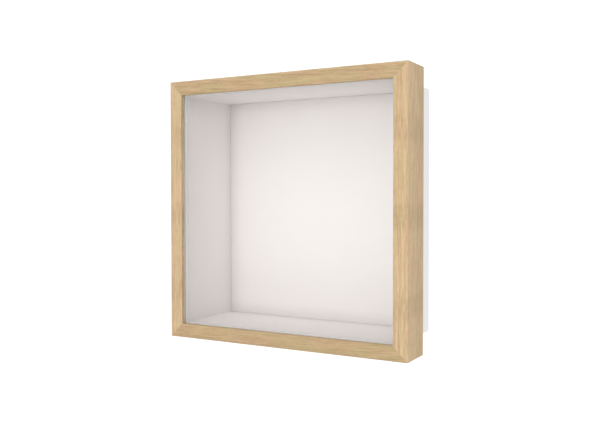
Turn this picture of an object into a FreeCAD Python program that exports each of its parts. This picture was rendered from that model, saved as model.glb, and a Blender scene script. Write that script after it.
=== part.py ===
import FreeCAD, Part
import math
import os
from FreeCAD import Placement, Rotation, Vector

os.makedirs("parts", exist_ok=True)

# Wall mounted showcase: a shallow white case on the wall, closed by a glazed oak frame that
# swings forward on a continuous hinge at the left and locks from below.
# Axes: X to the right, Y back into the wall, Z up. The origin is the centre of the case's
# back face, in the plane of the wall. Sections are given as pairs (back, out): back is the
# distance behind the frame's front face, out is the distance from the centre line.

# Overall
FRAME_SIDE = 600.0
TOTAL_DEPTH = 200.0

# Oak frame
FACE_WIDTH = 32.0
FRAME_DEPTH = 87.0
LIP_DEPTH = 10.0
REBATE_WIDTH = 9.0
EDGE_EASE = 0.6
TONGUE_ACROSS = 12.0
TONGUE_ALONG = 14.0
TONGUE_THICKNESS = 5.0
TONGUE_DEPTHS = (32.0, 66.0)

# Glazing
TAPE_THICKNESS = 1.0
TAPE_INSET = 0.2
GLASS_THICKNESS = 4.0
GLASS_CLEARANCE = 2.0
GLASS_ARRIS = 0.4
BLOCK_LENGTH = 40.0
BLOCK_OFFSET = 180.0
BEAD_DEPTH = 8.0
BEAD_SETBACK = 0.3
BEAD_EASE = 0.5
BEAD_SCREW_PLACES = (-200.0, 0.0, 200.0)
SEAL_WIDTH = 4.6
SEAL_DEPTH = 2.0
SEAL_ROUND = 0.6
SEAL_INSET = 0.1

# Case
CASE_GAP = 6.0
CASE_WALL = 4.0
CASE_BACK = 3.0
CASE_OUTER_ROUND = 2.0
CASE_INNER_ROUND = 1.0
PANEL_THICKNESS = 1.0
PANEL_CLEARANCE = 0.5
MAGNET_RADIUS = 5.0
MAGNET_THICKNESS = 2.0
MAGNET_PLACES = [(x, z) for x in (-240.0, 240.0) for z in (-130.0, 0.0, 130.0)]
WALL_HOLE_SPACING = 440.0
WALL_HOLE_RADIUS = 3.0
WALL_SINK_RADIUS = 5.0

# Continuous hinge
LEAF_THICKNESS = 1.2
LEAF_WIDTH = 22.0
KNUCKLE_RADIUS = 2.5
KNUCKLE_PITCH = 21.0
KNUCKLE_COUNT = 25
KNUCKLE_GAP = 0.4
LEAF_RELIEF = 2.8
PIN_RADIUS = 1.0
PIN_OVERHANG = 1.0
PIN_CHAMFER = 0.3
HINGE_SCREW_PITCH = 66.0
HINGE_SCREW_INSET = 13.0
FRAME_LEAF_SCREWS = 8
CASE_LEAF_SCREWS = 7

# Lock, upright in the bottom rail
LOCK_X = 230.0
LOCK_BACK = 48.5
BARREL_RADIUS = 8.0
BARREL_LENGTH = 20.5
FLANGE_RADIUS = 10.5
FLANGE_THICKNESS = 1.5
FLANGE_CHAMFER = 0.5
LOCK_HOLE_CLEARANCE = 0.3
PLUG_RADIUS = 5.5
PLUG_SETBACK = 0.3
KEY_SLOT = (6.0, 1.2, 8.0)
POCKET_RADIUS = 13.5
POCKET_DEPTH = 6.0
NUT_ACROSS_FLATS = 21.0
NUT_THICKNESS = 3.0
CAM_LIFT = 0.7
CAM_THICKNESS = 2.0
CAM_WIDTH = 14.0
CAM_REACH = 28.0
CAM_SQUARE = 6.0
CAM_SCREW_HEAD = 1.7
CAM_SCREW_ROUND = 0.8
KEEPER_WIDTH = 22.0
KEEPER_DEPTH = 9.0
KEEPER_HEIGHT = 5.5
KEEPER_EDGE = 0.5
KEEPER_SHIFT = 24.0
KEEPER_CLEARANCE = 0.5
KEEPER_SCREW_SPACING = 11.0

# Screws: shank radius, head radius, length
BEAD_SCREW = (1.2, 2.4, 18.0)
LEAF_WOOD_SCREW = (1.5, 3.0, 16.0)
CASE_SCREW = (1.5, 3.0, 4.5)
KEEPER_SCREW = (1.5, 3.0, 9.0)
CAM_SCREW = (1.4, 4.0, 6.0)

# Radial clearances
HOLE_CLEARANCE = 0.1
RUNNING_FIT = 0.05

# Worked out from the above
HALF = FRAME_SIDE / 2
SIGHT = HALF - FACE_WIDTH
REBATE = SIGHT + REBATE_WIDTH
CASE_OUTER = REBATE - CASE_GAP
CASE_INNER = CASE_OUTER - CASE_WALL
GLASS_FRONT = LIP_DEPTH + TAPE_THICKNESS
GLASS_HALF = REBATE - GLASS_CLEARANCE
BEAD_FRONT = GLASS_FRONT + GLASS_THICKNESS
BEAD_INNER = SIGHT + BEAD_SETBACK
SEAL_FRONT = BEAD_FRONT + BEAD_DEPTH
CASE_FRONT = SEAL_FRONT + SEAL_DEPTH
CASE_FLOOR = TOTAL_DEPTH - CASE_BACK
HINGE_X = -CASE_OUTER - KNUCKLE_RADIUS
HINGE_BACK = FRAME_DEPTH + KNUCKLE_RADIUS
HINGE_HALF = KNUCKLE_COUNT * KNUCKLE_PITCH / 2
CAM_BOTTOM = -REBATE + CAM_LIFT
CAM_TOP = CAM_BOTTOM + CAM_THICKNESS
KEEPER_X = LOCK_X - KEEPER_SHIFT
KEEPER_REAR = LOCK_BACK - CAM_WIDTH / 2 - KEEPER_CLEARANCE
KEEPER_UNDER = -CASE_OUTER - KEEPER_HEIGHT

CENTRE = Vector(0, 0, 0)
RIGHT = Vector(1, 0, 0)
BACKWARD = Vector(0, 1, 0)
FORWARD = Vector(0, -1, 0)
UP = Vector(0, 0, 1)
DOWN = Vector(0, 0, -1)
SIDES = {"top": 0, "right": 90, "bottom": 180, "left": 270}


def y_at(back):
    """Y of the plane this far behind the frame's front face."""
    return back - TOTAL_DEPTH


def block(x0, x1, back0, back1, z0, z1):
    corner = Vector(x0, y_at(back0), z0)
    return Part.makeBox(x1 - x0, back1 - back0, z1 - z0, corner)


def square_slab(half, back0, back1):
    return block(-half, half, back0, back1, -half, half)


def rod(radius, start, direction, length):
    return Part.makeCylinder(radius, length, start, direction)


def turned(shape, angle):
    """The shape turned about the Y axis, which takes the top of the frame to another side."""
    copy = shape.copy()
    copy.rotate(CENTRE, BACKWARD, angle)
    return copy


def spaced(count, pitch):
    """This many places, evenly spaced about the centre."""
    return [(i - (count - 1) / 2) * pitch for i in range(count)]


def edges_along(shape, axis):
    """Straight edges that run along the axis."""
    found = []
    for edge in shape.Edges:
        run = edge.Vertexes[-1].Point.sub(edge.Vertexes[0].Point)
        if run.Length > 0 and abs(run.normalize().dot(axis)) > 0.999:
            found.append(edge)
    return found


def mitred_bar(section, rounding=0.0):
    """A top bar of the given (back, out) section with its ends cut at 45 degrees. Rounding
    softens its rear edges."""
    points = [Vector(-FRAME_SIDE, y_at(back), out) for back, out in section]
    face = Part.Face(Part.makePolygon(points + points[:1]))
    bar = face.extrude(Vector(2 * FRAME_SIDE, 0, 0))
    if rounding:
        rear = y_at(max(back for back, out in section))
        rear_edges = [e for e in edges_along(bar, RIGHT) if abs(e.CenterOfMass.y - rear) < 0.01]
        bar = bar.makeFillet(rounding, rear_edges)
    reach = FRAME_SIDE
    corners = [Vector(0, -reach, 0), Vector(reach, -reach, reach), Vector(-reach, -reach, reach)]
    wedge = Part.Face(Part.makePolygon(corners + corners[:1])).extrude(Vector(0, 2 * reach, 0))
    return bar.common(wedge)


def rectangle(back0, back1, out0, out1):
    return [(back0, out0), (back1, out0), (back1, out1), (back0, out1)]


def countersunk(size, direction, head, clearance=0.0):
    """A countersunk screw with the flat of its head centred here and its tip in this direction,
    or the hole that holds it when a clearance is given."""
    shank_radius, head_radius, length = size
    depth = head_radius - shank_radius
    cone = Part.makeCone(head_radius + clearance, shank_radius + clearance, depth, head, direction)
    stem = rod(shank_radius + clearance, head, direction, length + clearance)
    return cone.fuse(stem).removeSplitter()


def crossed(screw, direction, head, across):
    """The screw with a cross recess in its head."""
    depth = 0.45 * across
    arm_width = 0.28 * across
    arms = []
    for size_x, size_y in ((across, arm_width), (arm_width, across)):
        corner = Vector(-size_x / 2, -size_y / 2, -depth)
        arms.append(Part.makeBox(size_x, size_y, 2 * depth, corner))
    recess = arms[0].fuse(arms[1])
    recess.Placement = Placement(head, Rotation(UP, direction))
    return screw.cut(recess)


def joined(shapes):
    """Many pieces of one node as a compound of separate solids."""
    solids = []
    for shape in shapes:
        solids.extend(shape.Solids)
    return Part.makeCompound(solids)


def bead_screw_places():
    """Head centre and direction of each bead screw, for every side of the frame."""
    middle = y_at(BEAD_FRONT + BEAD_DEPTH / 2)
    for side, angle in SIDES.items():
        turn = Rotation(BACKWARD, angle)
        for place in BEAD_SCREW_PLACES:
            yield side, turn.multVec(Vector(place, middle, BEAD_INNER)), turn.multVec(UP)


def leaf_screw_places():
    """Heads of the screws that hold the frame leaf to the rear of the left stile."""
    y = y_at(FRAME_DEPTH + LEAF_THICKNESS)
    for z in spaced(FRAME_LEAF_SCREWS, HINGE_SCREW_PITCH):
        yield Vector(HINGE_X - HINGE_SCREW_INSET, y, z)


def case_screw_places():
    """Heads of the screws that hold the case leaf to the left side of the case."""
    y = y_at(HINGE_BACK + HINGE_SCREW_INSET)
    for z in spaced(CASE_LEAF_SCREWS, HINGE_SCREW_PITCH):
        yield Vector(-CASE_OUTER - LEAF_THICKNESS, y, z)


def keeper_screw_places():
    """Heads of the two screws that hold the keeper under the case."""
    y = y_at(KEEPER_REAR - KEEPER_DEPTH / 2)
    for shift in spaced(2, KEEPER_SCREW_SPACING):
        yield Vector(KEEPER_X + shift, y, KEEPER_UNDER)


def mitre_tongues():
    """Loose tongues glued across the four mitres, two in each, one behind the other."""
    middle = (HALF + REBATE) / 2
    shapes = []
    for angle in SIDES.values():
        for depth in TONGUE_DEPTHS:
            tongue = block(-TONGUE_ALONG / 2, TONGUE_ALONG / 2, depth, depth + TONGUE_THICKNESS,
                           -TONGUE_ACROSS / 2, TONGUE_ACROSS / 2)
            tongue = turned(tongue, -45)
            tongue.translate(Vector(middle, 0, middle))
            shapes.append(turned(tongue, angle))
    return shapes


def frame_members():
    """Four mitred oak members with a lip at the front and a rebate behind it."""
    section = [
        (EDGE_EASE, HALF), (0, HALF - EDGE_EASE), (0, SIGHT + EDGE_EASE), (EDGE_EASE, SIGHT),
        (LIP_DEPTH, SIGHT), (LIP_DEPTH, REBATE), (FRAME_DEPTH, REBATE),
        (FRAME_DEPTH, HALF - EDGE_EASE), (FRAME_DEPTH - EDGE_EASE, HALF),
    ]
    plain = mitred_bar(section)
    tongues = joined(mitre_tongues())
    members = {side: turned(plain, angle).cut(tongues) for side, angle in SIDES.items()}
    for side, head, outward in bead_screw_places():
        members[side] = members[side].cut(countersunk(BEAD_SCREW, outward, head, HOLE_CLEARANCE))
    for head in leaf_screw_places():
        hole = countersunk(LEAF_WOOD_SCREW, FORWARD, head, HOLE_CLEARANCE)
        members["left"] = members["left"].cut(hole)
    members["bottom"] = members["bottom"].cut(lock_recess())
    return members


def lock_point(z):
    return Vector(LOCK_X, y_at(LOCK_BACK), z)


def lock_recess():
    """Counterbored hole through the bottom rail, with a round pocket for the nut."""
    below = lock_point(-HALF - 1)
    hole = rod(BARREL_RADIUS + LOCK_HOLE_CLEARANCE, below, UP, FACE_WIDTH)
    counterbore = rod(FLANGE_RADIUS + LOCK_HOLE_CLEARANCE, below, UP, FLANGE_THICKNESS + 1)
    pocket = rod(POCKET_RADIUS, lock_point(-REBATE - POCKET_DEPTH), UP, POCKET_DEPTH + 1)
    return hole.fuse([counterbore, pocket])


def glazing_tape():
    section = rectangle(LIP_DEPTH, GLASS_FRONT, SIGHT + TAPE_INSET, GLASS_HALF)
    strip = mitred_bar(section)
    return joined([turned(strip, angle) for angle in SIDES.values()])


def glass_pane():
    pane = square_slab(GLASS_HALF, GLASS_FRONT, BEAD_FRONT)
    return pane.makeChamfer(GLASS_ARRIS, edges_along(pane, RIGHT) + edges_along(pane, UP))


def setting_blocks():
    """Two plastic blocks on each side that centre the pane in its rebate."""
    shapes = []
    for angle in SIDES.values():
        for middle in (-BLOCK_OFFSET, BLOCK_OFFSET):
            pad = block(middle - BLOCK_LENGTH / 2, middle + BLOCK_LENGTH / 2,
                        GLASS_FRONT, BEAD_FRONT, GLASS_HALF, REBATE)
            shapes.append(turned(pad, angle))
    return joined(shapes)


def glazing_beads():
    rear = SEAL_FRONT
    section = [
        (BEAD_FRONT, BEAD_INNER), (rear - BEAD_EASE, BEAD_INNER), (rear, BEAD_INNER + BEAD_EASE),
        (rear, REBATE), (BEAD_FRONT, REBATE),
    ]
    plain = mitred_bar(section)
    beads = {side: turned(plain, angle) for side, angle in SIDES.items()}
    for side, head, outward in bead_screw_places():
        beads[side] = beads[side].cut(countersunk(BEAD_SCREW, outward, head, HOLE_CLEARANCE))
    return beads


def bead_screws():
    shapes = []
    for side, head, outward in bead_screw_places():
        shapes.append(crossed(countersunk(BEAD_SCREW, outward, head), outward, head, BEAD_SCREW[1]))
    return joined(shapes)


def door_seal():
    """Four lengths of soft seal on the rear of the beads, pressed on the rim of the case."""
    inner = SIGHT + BEAD_EASE + SEAL_INSET
    section = rectangle(SEAL_FRONT, CASE_FRONT, inner, inner + SEAL_WIDTH)
    length = mitred_bar(section, SEAL_ROUND)
    return joined([turned(length, angle) for angle in SIDES.values()])


def wall_hole(x, z):
    """Screw hole through the back, countersunk from the inside."""
    depth = WALL_SINK_RADIUS - WALL_HOLE_RADIUS
    start = Vector(x, y_at(CASE_FLOOR), z)
    cone = Part.makeCone(WALL_SINK_RADIUS, WALL_HOLE_RADIUS, depth, start, BACKWARD)
    return cone.fuse(rod(WALL_HOLE_RADIUS, start, BACKWARD, CASE_BACK + 1))


def case_body():
    """Aluminium case: a back and four sides, open at the front, with rounded outer corners."""
    outside = square_slab(CASE_OUTER, CASE_FRONT, TOTAL_DEPTH)
    outside = outside.makeFillet(CASE_OUTER_ROUND, edges_along(outside, BACKWARD))
    inside = square_slab(CASE_INNER, CASE_FRONT - 1, CASE_FLOOR)
    inside = inside.makeFillet(CASE_INNER_ROUND, edges_along(inside, BACKWARD))
    half = WALL_HOLE_SPACING / 2
    cuts = [wall_hole(x, z) for x in (-half, half) for z in (-half, half)]
    cuts += magnet_discs(MAGNET_RADIUS + HOLE_CLEARANCE)
    for head in case_screw_places():
        cuts.append(countersunk(CASE_SCREW, RIGHT, head, HOLE_CLEARANCE))
    for head in keeper_screw_places():
        cuts.append(countersunk(KEEPER_SCREW, UP, head, HOLE_CLEARANCE))
    return outside.cut([inside] + cuts)


def back_panel():
    """Steel display panel that hides the wall screws. Magnets hold it to the case's back."""
    half = CASE_INNER - PANEL_CLEARANCE
    return square_slab(half, CASE_FLOOR - PANEL_THICKNESS, CASE_FLOOR)


def magnet_discs(radius):
    """Discs let into the front of the case's back."""
    discs = []
    for x, z in MAGNET_PLACES:
        start = Vector(x, y_at(CASE_FLOOR), z)
        discs.append(rod(radius, start, BACKWARD, MAGNET_THICKNESS))
    return discs


def hinge_point(z):
    return Vector(HINGE_X, y_at(HINGE_BACK), z)


def rolled_leaf(first):
    """A hinge leaf that lies along -X from the pin, with every second knuckle rolled from it.
    The first knuckle that it owns is 0 or 1, counted from the bottom."""
    back0 = HINGE_BACK - KNUCKLE_RADIUS
    back1 = back0 + LEAF_THICKNESS
    plate = block(HINGE_X - LEAF_WIDTH, HINGE_X - LEAF_RELIEF, back0, back1, -HINGE_HALF, HINGE_HALF)
    rolls = []
    for i in range(first, KNUCKLE_COUNT, 2):
        z0 = -HINGE_HALF + i * KNUCKLE_PITCH + KNUCKLE_GAP / 2
        z1 = z0 + KNUCKLE_PITCH - KNUCKLE_GAP
        rolls.append(block(HINGE_X - LEAF_RELIEF, HINGE_X, back0, back1, z0, z1))
        rolls.append(rod(KNUCKLE_RADIUS, hinge_point(z0), UP, z1 - z0))
    leaf = plate.fuse(rolls).removeSplitter()
    bore = rod(PIN_RADIUS + RUNNING_FIT, hinge_point(-HINGE_HALF - 1), UP, 2 * HINGE_HALF + 2)
    return leaf.cut(bore)


def frame_leaf():
    holes = [countersunk(LEAF_WOOD_SCREW, FORWARD, head, HOLE_CLEARANCE)
             for head in leaf_screw_places()]
    return rolled_leaf(0).cut(holes)


def case_leaf():
    """The other leaf, mirrored in the plane at 45 degrees through the pin, so that it lies
    along the side of the case."""
    leaf = rolled_leaf(1).mirror(hinge_point(0), Vector(1, 1, 0))
    holes = [countersunk(CASE_SCREW, RIGHT, head, HOLE_CLEARANCE) for head in case_screw_places()]
    return leaf.cut(holes)


def hinge_pin():
    length = 2 * (HINGE_HALF + PIN_OVERHANG)
    pin = rod(PIN_RADIUS, hinge_point(-length / 2), UP, length)
    ends = [e for e in pin.Edges if isinstance(e.Curve, Part.Circle)]
    return pin.makeChamfer(PIN_CHAMFER, ends)


def screws(size, direction, places):
    return joined([crossed(countersunk(size, direction, head), direction, head, size[1])
                   for head in places])


def lock_barrel():
    """Threaded barrel with a flange that lies flush in the underside of the bottom rail."""
    body = rod(BARREL_RADIUS, lock_point(-HALF), UP, BARREL_LENGTH)
    flange = rod(FLANGE_RADIUS, lock_point(-HALF), UP, FLANGE_THICKNESS)
    rim = [e for e in flange.Edges if abs(e.CenterOfMass.z + HALF) < 0.01]
    flange = flange.makeChamfer(FLANGE_CHAMFER, rim)
    bore = rod(PLUG_RADIUS + RUNNING_FIT, lock_point(-HALF - 1), UP, BARREL_LENGTH + 2)
    return body.fuse(flange).removeSplitter().cut(bore)


def lock_plug():
    """Turning plug with a key slot below and a square post for the cam above."""
    foot = -HALF + PLUG_SETBACK
    plug = rod(PLUG_RADIUS, lock_point(foot), UP, CAM_BOTTOM - foot)
    half = CAM_SQUARE / 2
    post = block(LOCK_X - half, LOCK_X + half, LOCK_BACK - half, LOCK_BACK + half, CAM_BOTTOM, CAM_TOP)
    width, thickness, depth = KEY_SLOT
    slot = block(LOCK_X - width / 2, LOCK_X + width / 2, LOCK_BACK - thickness / 2,
                 LOCK_BACK + thickness / 2, foot - 1, foot + depth)
    shank_radius, head_radius, length = CAM_SCREW
    tapped = rod(shank_radius + HOLE_CLEARANCE, lock_point(CAM_TOP - length - 1), UP, length + 2)
    return plug.fuse(post).removeSplitter().cut([slot, tapped])


def lock_nut():
    radius = NUT_ACROSS_FLATS / math.sqrt(3)
    floor = -REBATE - POCKET_DEPTH
    corners = [lock_point(floor) + Vector(radius * math.cos(a), radius * math.sin(a), 0)
               for a in (math.radians(60 * i) for i in range(7))]
    nut = Part.Face(Part.makePolygon(corners)).extrude(Vector(0, 0, NUT_THICKNESS))
    return nut.cut(rod(BARREL_RADIUS + RUNNING_FIT, lock_point(floor - 1), UP, NUT_THICKNESS + 2))


def lock_cam():
    """Flat cam that points straight back when unlocked."""
    half = CAM_WIDTH / 2
    tip = LOCK_BACK + CAM_REACH - half
    plate = block(LOCK_X - half, LOCK_X + half, LOCK_BACK, tip, CAM_BOTTOM, CAM_TOP)
    near = rod(half, lock_point(CAM_BOTTOM), UP, CAM_THICKNESS)
    far = rod(half, Vector(LOCK_X, y_at(tip), CAM_BOTTOM), UP, CAM_THICKNESS)
    hole_half = CAM_SQUARE / 2 + RUNNING_FIT
    hole = block(LOCK_X - hole_half, LOCK_X + hole_half, LOCK_BACK - hole_half,
                 LOCK_BACK + hole_half, CAM_BOTTOM - 1, CAM_TOP + 1)
    return plate.fuse([near, far]).removeSplitter().cut(hole)


def cam_screw():
    """Low round-headed screw that holds the cam on its post."""
    shank_radius, head_radius, length = CAM_SCREW
    top = CAM_TOP + CAM_SCREW_HEAD
    head = rod(head_radius, lock_point(CAM_TOP), UP, CAM_SCREW_HEAD)
    rim = [e for e in head.Edges if abs(e.CenterOfMass.z - top) < 0.01]
    head = head.makeFillet(CAM_SCREW_ROUND, rim)
    stem = rod(shank_radius, lock_point(CAM_TOP - length), UP, length)
    return crossed(head.fuse(stem).removeSplitter(), DOWN, lock_point(top), head_radius / 2)


def keeper():
    """Block under the case that stands just in front of the cam when the lock is turned."""
    left = KEEPER_X - KEEPER_WIDTH / 2
    right = KEEPER_X + KEEPER_WIDTH / 2
    bar = block(left, right, KEEPER_REAR - KEEPER_DEPTH, KEEPER_REAR, KEEPER_UNDER, -CASE_OUTER)
    rim = [e for e in bar.Edges if abs(e.CenterOfMass.z - KEEPER_UNDER) < 0.01]
    bar = bar.makeChamfer(KEEPER_EDGE, rim)
    holes = [countersunk(KEEPER_SCREW, UP, head, HOLE_CLEARANCE) for head in keeper_screw_places()]
    return bar.cut(holes)


def nodes():
    members = frame_members()
    beads = glazing_beads()
    made = {
        "frame_top_rail": members["top"],
        "frame_right_stile": members["right"],
        "frame_bottom_rail": members["bottom"],
        "frame_left_stile": members["left"],
        "mitre_tongues": joined(mitre_tongues()),
        "glazing_tape": glazing_tape(),
        "glass_pane": glass_pane(),
        "setting_blocks": setting_blocks(),
        "bead_screws": bead_screws(),
        "door_seal": door_seal(),
        "case_body": case_body(),
        "back_panel": back_panel(),
        "panel_magnets": joined(magnet_discs(MAGNET_RADIUS)),
        "hinge_frame_leaf": frame_leaf(),
        "hinge_case_leaf": case_leaf(),
        "hinge_pin": hinge_pin(),
        "hinge_frame_screws": screws(LEAF_WOOD_SCREW, FORWARD, leaf_screw_places()),
        "hinge_case_screws": screws(CASE_SCREW, RIGHT, case_screw_places()),
        "lock_barrel": lock_barrel(),
        "lock_nut": lock_nut(),
        "lock_plug": lock_plug(),
        "lock_cam": lock_cam(),
        "cam_screw": cam_screw(),
        "lock_keeper": keeper(),
        "keeper_screws": screws(KEEPER_SCREW, UP, keeper_screw_places()),
    }
    for side, bead in beads.items():
        made["glazing_bead_" + side] = bead
    return made


for name, shape in nodes().items():
    shape.exportStep("parts/" + name + ".step")
    print(name, len(shape.Solids), "solid(s)", round(shape.Volume), "mm3", "valid", shape.isValid())
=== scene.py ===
import math

import bmesh
import bpy
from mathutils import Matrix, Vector


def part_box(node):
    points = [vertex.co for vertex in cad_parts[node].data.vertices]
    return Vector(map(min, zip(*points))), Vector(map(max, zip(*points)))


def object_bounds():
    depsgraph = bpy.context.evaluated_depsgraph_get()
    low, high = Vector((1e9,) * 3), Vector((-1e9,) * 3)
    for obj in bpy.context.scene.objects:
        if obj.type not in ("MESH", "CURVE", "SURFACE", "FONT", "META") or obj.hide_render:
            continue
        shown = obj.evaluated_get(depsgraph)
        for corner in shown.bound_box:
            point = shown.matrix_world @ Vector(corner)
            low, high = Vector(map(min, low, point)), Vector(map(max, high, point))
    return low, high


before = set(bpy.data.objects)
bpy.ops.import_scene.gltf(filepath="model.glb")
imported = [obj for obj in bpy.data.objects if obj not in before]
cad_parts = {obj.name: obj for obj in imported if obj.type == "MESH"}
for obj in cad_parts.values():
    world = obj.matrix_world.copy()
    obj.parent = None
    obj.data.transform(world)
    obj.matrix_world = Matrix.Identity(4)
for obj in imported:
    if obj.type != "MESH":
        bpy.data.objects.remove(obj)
cad_low, cad_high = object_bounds()

# The camera, in metres, millimetres of lens and degrees. Pan turns it to the left of +Y.
CAMERA_PLACE = (0.8320, -1.5422, 0.0341)
CAMERA_PAN = 28.315
CAMERA_TILT = -1.324
CAMERA_LENS = 43.53
CAMERA_SENSOR = 36.0
CAMERA_SHIFT = (-0.0381, 0.0)

# The studio: a pale floor far below the showcase, white all round, and large soft lights that
# point at the middle of the showcase. Each light: place, size, power in watts.
FLOOR_DROP = 0.95
FLOOR_REACH = 40.0
FLOOR_SQUARES = 8
FLOOR_LIGHT = (0.995, 0.995, 0.995)
FLOOR_DARK = (0.985, 0.985, 0.985)
FLOOR_ROUGHNESS = 0.9
SKY_STRENGTH = 1.15
LIGHTS = {
    "light_front": ((0.0, -2.8, 0.2), 2.0, 19.5),
    "light_above": ((0.3, -2.0, 2.0), 1.6, 12.6),
    "light_right": ((3.0, -1.2, 0.6), 1.6, 8.0),
}

# Colours as linear light
OAK = {
    "light": (0.456, 0.359, 0.205),
    "rosy": (0.480, 0.337, 0.214),
    "dark": (0.296, 0.212, 0.120),
    "pore": (0.209, 0.135, 0.070),
}
BEECH_LIGHT = (0.560, 0.390, 0.230)
BEECH_DARK = (0.450, 0.300, 0.170)
POWDER_WHITE = (0.784, 0.747, 0.734)
# The case's outer sides: the same powder coat as its inside, painted darker as shade
SHADED_OUTER_WHITE = (0.630, 0.624, 0.627)
PANEL_WHITE = (0.732, 0.697, 0.682)
# The beads' paint, partly their own white and partly painted shade for the shade under the
# frame's rails
PAINT_WHITE_SHADED = (0.668, 0.650, 0.637)
SEAL_WHITE = (0.716, 0.697, 0.683)
FOAM_WHITE = (0.700, 0.690, 0.675)
PLASTIC_GREY = (0.300, 0.300, 0.310)
STEEL = (0.560, 0.555, 0.545)
ZINC = (0.540, 0.540, 0.530)
NICKEL = (0.520, 0.500, 0.465)
GLASS_TINT = (0.996, 0.998, 0.997)
WHITE = (1.0, 1.0, 1.0)
BLACK = (0.0, 0.0, 0.0)

# The wood's noise: cells a metre along and across the fibres, detail, and gain per octave
WOOD_NOISE = {
    "sway": (2.2, 7.0, 2.0, 0.5),
    "rings": (0.8, 60.0, 2.0, 0.5),
    "streaks": (18.0, 230.0, 3.0, 0.65),
    "lines": (80.0, 380.0, 2.0, 0.6),
    "fibres": (22.0, 1150.0, 4.0, 0.7),
    "bands": (0.7, 95.0, 2.0, 0.5),
    "clouds": (6.0, 24.0, 2.0, 0.5),
    "pores": (90.0, 1900.0, 2.0, 0.6),
    "hue": (9.0, 70.0, 2.0, 0.5),
}

# How much each of these darkens the wood. Bands and figure differ from piece to piece.
STREAK_SHARE = 0.50
RING_SHARE = 0.16
LINE_SHARE = 0.62
FIBRE_SHARE = 0.65
CLOUD_SHARE = 0.04
PORE_SHARE = 0.5

# The span of each value that counts as none to full
STREAK_SPAN = (0.3, 0.7)
PORE_SPAN = (0.585, 0.68)
HUE_SPAN = (0.38, 0.62)
TONE_SPAN = (0.66, 1.46)

# Growth rings, in metres: the pith's place across the fibres, from the showcase's origin, and a
# year's growth. A ring darkens slowly over one part of its turn and ends quickly over another.
# The pores are fewest where a ring is light.
PITH = (0.13, 0.21)
RING_WIDTH = 0.0046
RING_UNEVENNESS = 2.2
RING_START = (0.3, 0.86)
RING_END = (1.0, 0.9)
EARLY_PORES = 0.3

# How far the grain strays, in metres
SWAY = 0.016

# The dark figure: metres from one to the next, the height of its cosine wave above which it
# shows, and how many radians the clouds move the wave
FIGURE_STEP = 0.18
FIGURE_START = 0.35
FIGURE_WANDER = 0.7

# Painted shade: how much darker the oak is near the wall than at its face, and over how many
# metres
PAINTED_REAR_SHADE = 0.24
REAR_SHADE_REACH = 0.09

# Roughness of the wood and of its open pores, and the fibres' share of the relief
WOOD_ROUGHNESS = (0.5, 0.7)
WOOD_SPECULAR = 0.12
FIBRE_RELIEF = 0.25

# How far the painted shade in the case's inner corners reaches, in metres, and in how many
# samples, how much darker the painted shade makes the inside at its mouth, and the Y where that
# starts
PAINTED_CORNER_REACH = 0.035
PAINTED_CORNER_SAMPLES = 8
PAINTED_MOUTH_SHADE = 0.15
PAINTED_MOUTH_START = -0.02

# How far inside the case's outer faces its outer colour begins, in metres. That colour is a
# darker white than the inside's, painted shade on the same coat.
SIDE_SKIN = 0.0015

# Powder coat: cells of orange peel and of patches a metre, and how uneven its colour and its
# roughness are
COAT_PEEL = 950.0
COAT_PATCHES = 9.0
COAT_DRIFT = 0.025
COAT_ROUGHNESS_SPREAD = 0.06
COAT_SPECULAR = 0.4

# The share of light that one face of the coated glass reflects head on, and how steeply that
# grows towards grazing angles
GLASS_REFLECTION = 0.006
GLASS_STEEPNESS = 5.0
GLASS_ROUGHNESS = 0.02


def dimmed(color, share):
    """The share of a colour's light, which is darker when the share is under 1."""
    return tuple(share * channel for channel in color)


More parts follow.
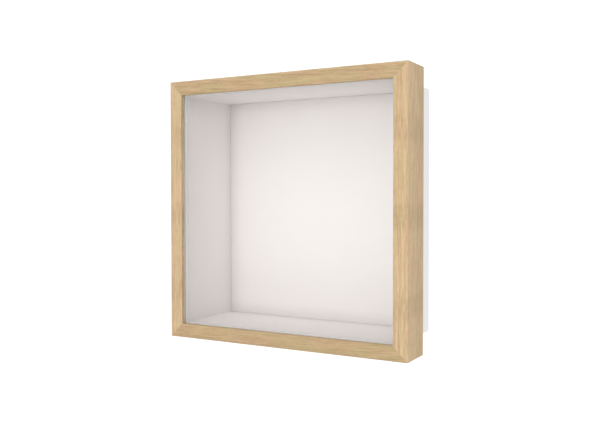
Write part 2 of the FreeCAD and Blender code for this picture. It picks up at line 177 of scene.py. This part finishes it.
class Shader:
    """A node material under construction, with short calls for the nodes that it uses."""

    def __init__(self, name):
        self.material = bpy.data.materials.new(name)
        self.material.use_nodes = True
        self.tree = self.material.node_tree
        self.tree.nodes.clear()
        self.output = self.tree.nodes.new("ShaderNodeOutputMaterial")

    def node(self, kind, **settings):
        made = self.tree.nodes.new(kind)
        for key, value in settings.items():
            setattr(made, key, value)
        return made

    def link(self, source, target):
        self.tree.links.new(source, target)

    def feed(self, socket, value):
        """Sets a socket to a number or colour, or links it to another socket."""
        if isinstance(value, bpy.types.NodeSocket):
            self.link(value, socket)
        elif isinstance(value, (tuple, list)) and len(socket.default_value) == 4:
            socket.default_value = (*value[:3], 1.0)
        else:
            socket.default_value = value

    def principled(self, color, roughness, **sockets):
        shader = self.node("ShaderNodeBsdfPrincipled")
        self.feed(shader.inputs["Base Color"], color)
        self.feed(shader.inputs["Roughness"], roughness)
        for key, value in sockets.items():
            self.feed(shader.inputs[key.replace("_", " ")], value)
        self.link(shader.outputs["BSDF"], self.output.inputs["Surface"])

    def object_place(self):
        return self.node("ShaderNodeTexCoord").outputs["Object"]

    def split(self, place):
        made = self.node("ShaderNodeSeparateXYZ")
        self.link(place, made.inputs[0])
        return made.outputs

    def join(self, *values):
        made = self.node("ShaderNodeCombineXYZ")
        for value, socket in zip(values, made.inputs):
            self.link(value, socket)
        return made.outputs[0]

    def vector_math(self, operation, place, vector):
        made = self.node("ShaderNodeVectorMath", operation=operation)
        self.link(place, made.inputs[0])
        made.inputs[1].default_value = vector
        return made.outputs

    def along(self, axis, offset):
        """Object coordinates with the given axis first, moved by the offset."""
        place = self.split(self.object_place())
        order = {"X": "XYZ", "Z": "ZYX"}[axis]
        turned = self.join(*(place[name] for name in order))
        return self.vector_math("ADD", turned, offset)["Vector"]

    def noise(self, place, cells, detail=2.0, gain=0.5):
        """Noise from 0 to 1 at so many cells a metre, which may differ along each axis."""
        size = cells if isinstance(cells, tuple) else (cells, cells, cells)
        made = self.node("ShaderNodeTexNoise")
        scaled = self.vector_math("MULTIPLY", place, size)["Vector"]
        self.link(scaled, made.inputs["Vector"])
        made.inputs["Scale"].default_value = 1.0
        made.inputs["Detail"].default_value = detail
        made.inputs["Roughness"].default_value = gain
        made.inputs["Distortion"].default_value = 0.0
        return made.outputs["Fac"]

    def wood_noise(self, kind, place):
        along, across, detail, gain = WOOD_NOISE[kind]
        return self.noise(place, (along, across, across), detail, gain)

    def math(self, operation, a, b=0.0):
        made = self.node("ShaderNodeMath", operation=operation)
        self.feed(made.inputs[0], a)
        self.feed(made.inputs[1], b)
        return made.outputs[0]

    def ramp(self, value, low, high, smooth=True):
        """The value's span from low to high, stretched to 0 to 1."""
        made = self.node("ShaderNodeMapRange", clamp=True)
        made.interpolation_type = "SMOOTHSTEP" if smooth else "LINEAR"
        self.feed(made.inputs["Value"], value)
        made.inputs["From Min"].default_value = low
        made.inputs["From Max"].default_value = high
        return made.outputs["Result"]

    def span(self, value, low, high):
        """A 0 to 1 value as one from low to high."""
        made = self.node("ShaderNodeMapRange", clamp=True)
        self.feed(made.inputs["Value"], value)
        made.inputs["To Min"].default_value = low
        made.inputs["To Max"].default_value = high
        return made.outputs["Result"]

    def mix(self, factor, a, b):
        made = self.node("ShaderNodeMix", data_type="RGBA")
        self.feed(made.inputs[0], factor)
        self.feed(made.inputs[6], a)
        self.feed(made.inputs[7], b)
        return made.outputs[2]

    def painted_corner_shade(self, strength):
        """Painted shade: how much darker the surface is in its inner corners, by ambient
        occlusion.
        """
        made = self.node("ShaderNodeAmbientOcclusion", samples=PAINTED_CORNER_SAMPLES)
        made.inputs["Distance"].default_value = PAINTED_CORNER_REACH
        return self.math("MULTIPLY", self.math("SUBTRACT", 1.0, made.outputs["AO"]), strength)

    def bump(self, height, strength, distance):
        made = self.node("ShaderNodeBump")
        self.feed(made.inputs["Height"], height)
        made.inputs["Strength"].default_value = strength
        made.inputs["Distance"].default_value = distance
        return made.outputs["Normal"]


def wood(name, axis, offset, slope, figuring, banding, colors):
    """Plain-sawn wood with its fibres along an axis: growth rings round a far pith, streaks,
    fine open pores, broad bands, and a darker figure at each step along the fibres. Figuring
    and banding are the strengths of the last two, and slope tilts the grain in the face."""
    light, rosy, dark, pore = colors
    s = Shader(name)
    place = s.along(axis, offset)
    parts = s.split(place)
    along = parts["X"]
    sway = s.math("MULTIPLY", s.math("SUBTRACT", s.wood_noise("sway", place), 0.5), SWAY)
    drift = s.math("ADD", sway, s.math("MULTIPLY", along, slope))
    grain = s.join(along, s.math("ADD", parts["Y"], sway), s.math("ADD", parts["Z"], drift))

    pith = (0.0, offset[1] + PITH[0], offset[2] + PITH[1])
    section = s.vector_math("MULTIPLY", grain, (0.0, 1.0, 1.0))["Vector"]
    from_pith = s.vector_math("DISTANCE", section, pith)["Value"]
    uneven = s.math("MULTIPLY", s.wood_noise("rings", grain), RING_UNEVENNESS)
    ring = s.math("FRACT", s.math("ADD", s.math("DIVIDE", from_pith, RING_WIDTH), uneven))
    rings = s.math("MULTIPLY", s.ramp(ring, *RING_START), s.ramp(ring, *RING_END))

    streaks = s.wood_noise("streaks", grain)
    lines = s.wood_noise("lines", grain)
    bands = s.wood_noise("bands", place)
    fibres = s.wood_noise("fibres", grain)
    clouds = s.wood_noise("clouds", place)
    wave = s.math("COSINE", s.math("ADD", s.math("MULTIPLY", along, math.tau / FIGURE_STEP),
                                   s.math("MULTIPLY", clouds, FIGURE_WANDER)))
    figure = s.math("MULTIPLY", s.ramp(wave, FIGURE_START, 1.0), s.span(streaks, 0.5, 1.0))
    pores = s.ramp(s.wood_noise("pores", grain), *PORE_SPAN)
    pores = s.math("MULTIPLY", pores, s.span(rings, EARLY_PORES, 1.0))
    # Painted shade: the oak darkens towards the wall
    depth = s.split(s.object_place())["Y"]
    painted_rear_shade = s.ramp(depth, cad_low.y, cad_low.y + REAR_SHADE_REACH, smooth=False)

    tone = s.math("MULTIPLY", s.ramp(streaks, *STREAK_SPAN, smooth=False), STREAK_SHARE)
    for part, share in ((rings, RING_SHARE), (lines, LINE_SHARE), (fibres, FIBRE_SHARE),
                        (clouds, CLOUD_SHARE), (bands, banding), (figure, figuring),
                        (painted_rear_shade, PAINTED_REAR_SHADE)):
        tone = s.math("ADD", tone, s.math("MULTIPLY", part, share))
    # The bands' noise is a half on average, so the span moves by that much of the banding
    low, high = (edge + banding / 2 for edge in TONE_SPAN)
    color = s.mix(s.ramp(s.wood_noise("hue", place), *HUE_SPAN), light, rosy)
    color = s.mix(s.ramp(tone, low, high, smooth=False), color, dark)
    color = s.mix(s.math("MULTIPLY", pores, PORE_SHARE), color, pore)

    relief = s.math("SUBTRACT", s.math("MULTIPLY", fibres, FIBRE_RELIEF), pores)
    normal = s.bump(relief, strength=0.35, distance=0.00012)
    s.principled(color, s.span(pores, *WOOD_ROUGHNESS), Normal=normal,
                 Specular_IOR_Level=WOOD_SPECULAR)
    return s.material


def powder_coat(name, color, roughness, corners, outer=None):
    """Fine-textured powder coat: a faint orange peel and barely uneven gloss, with painted
    shade that darkens its inner corners by the share given. With an outer colour, the case's
    outer sides have that, a darker white as painted shade, with no painted corner or mouth
    shade, and painted shade makes its inside a little darker towards its mouth."""
    s = Shader(name)
    place = s.object_place()
    peel = s.noise(place, COAT_PEEL, gain=0.55)
    shade = s.math("MULTIPLY", s.noise(place, COAT_PATCHES), COAT_DRIFT)
    if outer:
        parts = s.split(place)
        across = s.math("ABSOLUTE", parts["X"])
        upright = s.math("ABSOLUTE", parts["Z"])
        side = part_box("case_body")[1].x - SIDE_SKIN
        beyond = s.math("GREATER_THAN", s.math("MAXIMUM", across, upright), side)
        # Painted shade: the inside darkens towards its mouth and in its inner corners
        mouth = s.math("MULTIPLY", s.ramp(parts["Y"], PAINTED_MOUTH_START, cad_low.y), PAINTED_MOUTH_SHADE)
        painted_inner_shade = s.math("ADD", mouth, s.painted_corner_shade(corners))
        # The outer sides take the darker outer white, painted shade
        color = s.mix(beyond, s.mix(painted_inner_shade, color, BLACK), outer)
    else:
        # Painted shade: the back panel darkens in its inner corners
        shade = s.math("ADD", shade, s.painted_corner_shade(corners))
    normal = s.bump(peel, strength=0.10, distance=0.00008)
    rough = s.span(peel, roughness - COAT_ROUGHNESS_SPREAD, roughness + COAT_ROUGHNESS_SPREAD)
    s.principled(s.mix(shade, color, BLACK), rough, Normal=normal,
                 Specular_IOR_Level=COAT_SPECULAR)
    return s.material


def mottled(name, color, grain, patches, shade, relief, roughness, detail=2.0, gain=0.5):
    """A plain matt finish. Its grain, in cells a metre, shows in its relief and its gloss, and
    its broader patches are as dark as the share of the colour that shade gives."""
    s = Shader(name)
    place = s.object_place()
    skin = s.noise(place, grain, detail, gain)
    drift = s.noise(place, patches, detail=1.0)
    normal = s.bump(skin, *relief)
    tone = s.mix(drift, color, dimmed(color, shade))
    s.principled(tone, s.span(skin, *roughness), Normal=normal)
    return s.material


def enamel(name, color):
    """Baked enamel on small steel parts: glossy, a little uneven where it pooled."""
    s = Shader(name)
    pools = s.noise(s.object_place(), cells=500.0)
    normal = s.bump(pools, strength=0.1, distance=0.00005)
    tone = s.mix(pools, color, dimmed(color, 0.95))
    s.principled(tone, s.span(pools, low=0.26, high=0.38), Normal=normal)
    return s.material


def brushed_metal(name, color, cells, roughness):
    """Metal with fine parallel brushing, which has fewer cells a metre along it."""
    s = Shader(name)
    place = s.object_place()
    hairs = s.noise(place, cells, gain=0.6)
    smears = s.noise(place, cells=45.0)
    normal = s.bump(hairs, strength=0.18, distance=0.00004)
    worn = s.math("ADD", s.math("MULTIPLY", hairs, 0.7), s.math("MULTIPLY", smears, 0.3))
    rough = s.span(worn, low=roughness - 0.08, high=roughness + 0.12)
    tone = s.mix(hairs, color, dimmed(color, 0.82))
    s.principled(tone, rough, Normal=normal, Metallic=1.0)
    return s.material


def plated_metal(name, color, roughness):
    """Bright plated metal with faint cloudy patches and fine scratches."""
    s = Shader(name)
    place = s.object_place()
    clouds = s.noise(place, cells=240.0, detail=3.0)
    scratches = s.noise(place, cells=(300.0, 4000.0, 900.0), detail=1.0)
    normal = s.bump(scratches, strength=0.08, distance=0.00003)
    rough = s.span(clouds, low=roughness - 0.05, high=roughness + 0.1)
    tone = s.mix(clouds, color, dimmed(color, 0.86))
    s.principled(tone, rough, Normal=normal, Metallic=1.0)
    return s.material


def clear_glass(name):
    """Low-iron glass with a low-reflection coating. Light passes straight through, and a faint
    reflection grows towards grazing angles, the same from inside the pane as from outside."""
    s = Shader(name)
    clear = s.node("ShaderNodeBsdfTransparent")
    clear.inputs["Color"].default_value = (*GLASS_TINT, 1.0)
    gloss = s.node("ShaderNodeBsdfGlossy")
    gloss.inputs["Roughness"].default_value = GLASS_ROUGHNESS
    facing = s.node("ShaderNodeLayerWeight")
    facing.inputs["Blend"].default_value = 0.5
    grazing = s.math("POWER", facing.outputs["Facing"], GLASS_STEEPNESS)
    mixed = s.node("ShaderNodeMixShader")
    s.link(s.span(grazing, GLASS_REFLECTION, 1.0), mixed.inputs[0])
    s.link(clear.outputs[0], mixed.inputs[1])
    s.link(gloss.outputs[0], mixed.inputs[2])
    s.link(mixed.outputs[0], s.output.inputs["Surface"])
    return s.material


def dress(material, *nodes):
    for node in nodes:
        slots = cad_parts[node].data.materials
        slots.clear()
        slots.append(material)


def dress_woods():
    """The offset moves each member to its own part of the tree. The tint is partly the member's
    own
    tone and partly painted light and shade: lighter on the stiles, darker on the rails.
    """
    members = {
        "frame_top_rail": dict(axis="X", offset=(1.26, 0.0, 0.4), slope=0.075,
                               figuring=0.02, banding=0.8, tint_and_painted_light=(0.917, 0.899, 0.858)),
        "frame_bottom_rail": dict(axis="X", offset=(4.68, 0.3, 2.1), slope=-0.075,
                                  figuring=0.02, banding=0.8, tint_and_painted_light=(0.872, 0.85, 0.808)),
        "frame_left_stile": dict(axis="Z", offset=(7.92, 0.7, 3.6), slope=0.004,
                                 figuring=0.20, banding=0.3, tint_and_painted_light=(1.061, 1.051, 1.045)),
        "frame_right_stile": dict(axis="Z", offset=(3.42, 1.7, 6.3), slope=-0.004,
                                  figuring=0.20, banding=0.2, tint_and_painted_light=(1.090, 1.070, 1.050)),
    }
    for node, member in members.items():
        # Each member's tint is partly its own tone and partly painted light and shade
        tint_and_painted_light = member.pop("tint_and_painted_light")
        colors = [tuple(c * t for c, t in zip(color, tint_and_painted_light)) for color in OAK.values()]
        dress(wood("oak_" + node, colors=colors, **member), node)
    beech = (BEECH_LIGHT, BEECH_LIGHT, BEECH_DARK, BEECH_DARK)
    dress(wood("beech", axis="X", offset=(0.0, 0.0, 0.0), slope=0.0, figuring=0.0, banding=0.0,
               colors=beech), "mitre_tongues")


def dress_whites():
    dress(powder_coat("powder_white", POWDER_WHITE, roughness=0.55, corners=0.08,
                      outer=SHADED_OUTER_WHITE), "case_body")
    dress(powder_coat("panel_white", PANEL_WHITE, roughness=0.6, corners=0.28), "back_panel")
    beads = ["glazing_bead_" + side for side in ("top", "right", "bottom", "left")]
    # The beads' white is darkened as painted shade
    dress(mottled("bead_white", PAINT_WHITE_SHADED, grain=420.0, patches=14.0, shade=0.96,
                  relief=(0.12, 0.0001), roughness=(0.38, 0.5), detail=3.0, gain=0.6), *beads)
    rubber = dict(grain=1800.0, patches=30.0, shade=0.9, relief=(0.25, 0.00008),
                  roughness=(0.65, 0.85))
    dress(mottled("seal_rubber", SEAL_WHITE, **rubber), "door_seal")
    dress(mottled("foam_tape", FOAM_WHITE, **rubber), "glazing_tape")
    dress(enamel("screw_white", PAINT_WHITE_SHADED), "bead_screws")


def dress_glass_and_fittings():
    dress(clear_glass("clear_glass"), "glass_pane")
    dress(mottled("grey_plastic", PLASTIC_GREY, grain=1500.0, patches=25.0, shade=0.9,
                  relief=(0.2, 0.00006), roughness=(0.45, 0.6)), "setting_blocks")
    dress(brushed_metal("hinge_steel", STEEL, (2200.0, 2200.0, 40.0), 0.34),
          "hinge_frame_leaf", "hinge_case_leaf", "hinge_pin")
    dress(plated_metal("bright_zinc", ZINC, 0.28), "hinge_frame_screws", "hinge_case_screws",
          "keeper_screws", "cam_screw", "lock_nut", "panel_magnets")
    dress(brushed_metal("pressed_zinc", ZINC, (120.0, 1500.0, 1500.0), 0.32),
          "lock_cam", "lock_keeper")
    dress(plated_metal("lock_nickel", NICKEL, 0.16), "lock_barrel", "lock_plug")


def add_to_scene(name, data, place):
    made = bpy.data.objects.new(name, data)
    bpy.context.scene.collection.objects.link(made)
    made.location = place
    return made


def add_floor():
    """A plain pale floor, far below the showcase."""
    mesh = bpy.data.meshes.new("studio_floor")
    shape = bmesh.new()
    bmesh.ops.create_grid(shape, x_segments=FLOOR_SQUARES, y_segments=FLOOR_SQUARES,
                          size=FLOOR_REACH)
    shape.to_mesh(mesh)
    shape.free()
    floor = add_to_scene("studio_floor", mesh, (0.0, 0.0, cad_low.z - FLOOR_DROP))
    s = Shader("studio_floor")
    mottle = s.noise(s.object_place(), cells=0.5)
    s.principled(s.mix(mottle, FLOOR_LIGHT, FLOOR_DARK), FLOOR_ROUGHNESS)
    mesh.materials.append(s.material)


def add_sky():
    """White studio walls all round."""
    world = bpy.data.worlds.new("studio")
    world.use_nodes = True
    bpy.context.scene.world = world
    wall = world.node_tree.nodes["Background"]
    wall.inputs["Color"].default_value = (*WHITE, 1.0)
    wall.inputs["Strength"].default_value = SKY_STRENGTH


def add_lights():
    centre = (cad_low + cad_high) / 2
    for name, (place, size, power) in LIGHTS.items():
        data = bpy.data.lights.new(name, "AREA")
        data.shape = "SQUARE"
        data.size = size
        data.energy = power
        light = add_to_scene(name, data, place)
        light.rotation_euler = (centre - Vector(place)).to_track_quat("-Z", "Y").to_euler()
        light.visible_camera = False
        light.visible_glossy = False


def add_camera():
    data = bpy.data.cameras.new("camera")
    data.lens = CAMERA_LENS
    data.sensor_width = CAMERA_SENSOR
    data.shift_x, data.shift_y = CAMERA_SHIFT
    camera = add_to_scene("camera", data, CAMERA_PLACE)
    camera.rotation_euler = (math.radians(90 + CAMERA_TILT), 0.0, math.radians(CAMERA_PAN))
    bpy.context.scene.camera = camera


add_camera()
dress_woods()
dress_whites()
dress_glass_and_fittings()
add_floor()
add_sky()
add_lights()
bpy.context.scene.view_settings.view_transform = "Standard"
